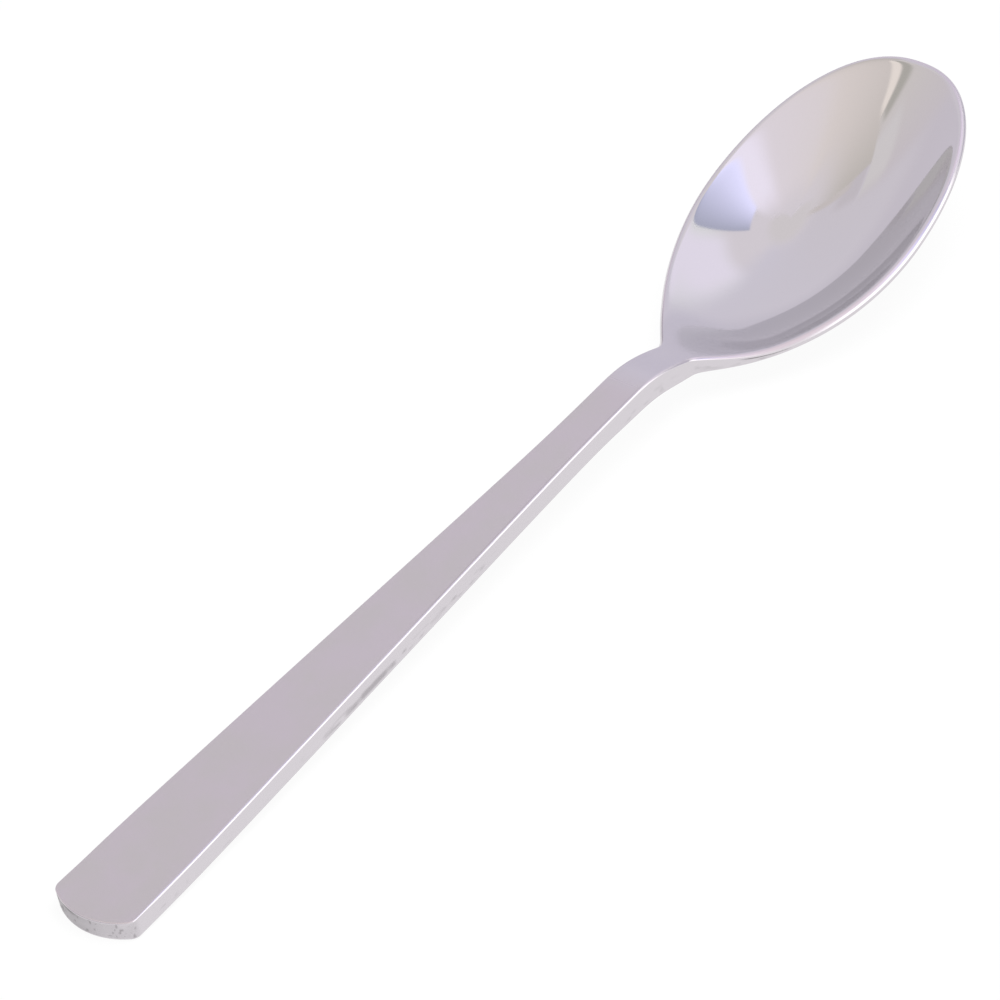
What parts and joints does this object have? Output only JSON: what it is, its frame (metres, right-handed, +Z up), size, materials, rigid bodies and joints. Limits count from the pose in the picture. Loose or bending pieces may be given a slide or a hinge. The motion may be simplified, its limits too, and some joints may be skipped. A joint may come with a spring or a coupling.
{
  "type": "dessert spoon",
  "caption": "Steel dessert spoon with a flat satin handle that tapers to a narrow dipped neck and a mirror-polished egg-shaped bowl, for eating soft desserts and soups.",
  "frame": {"origin": "on the table top, under the middle of the spoon's length, in its plane of symmetry", "axes": "+X from the handle end to the bowl tip, +Y to the left seen from the handle end, +Z up from the table that the spoon lies on"},
  "size_m": [0.185, 0.038, 0.0192],
  "materials": {
    "satin_steel": "satin",
    "bright_steel": "polished",
    "mirror_steel": "mirror polished"
  },
  "bodies": {
    "root": {"handle": "satin_steel", "neck": "bright_steel", "bowl": "mirror_steel"}
  },
  "joints": []
}
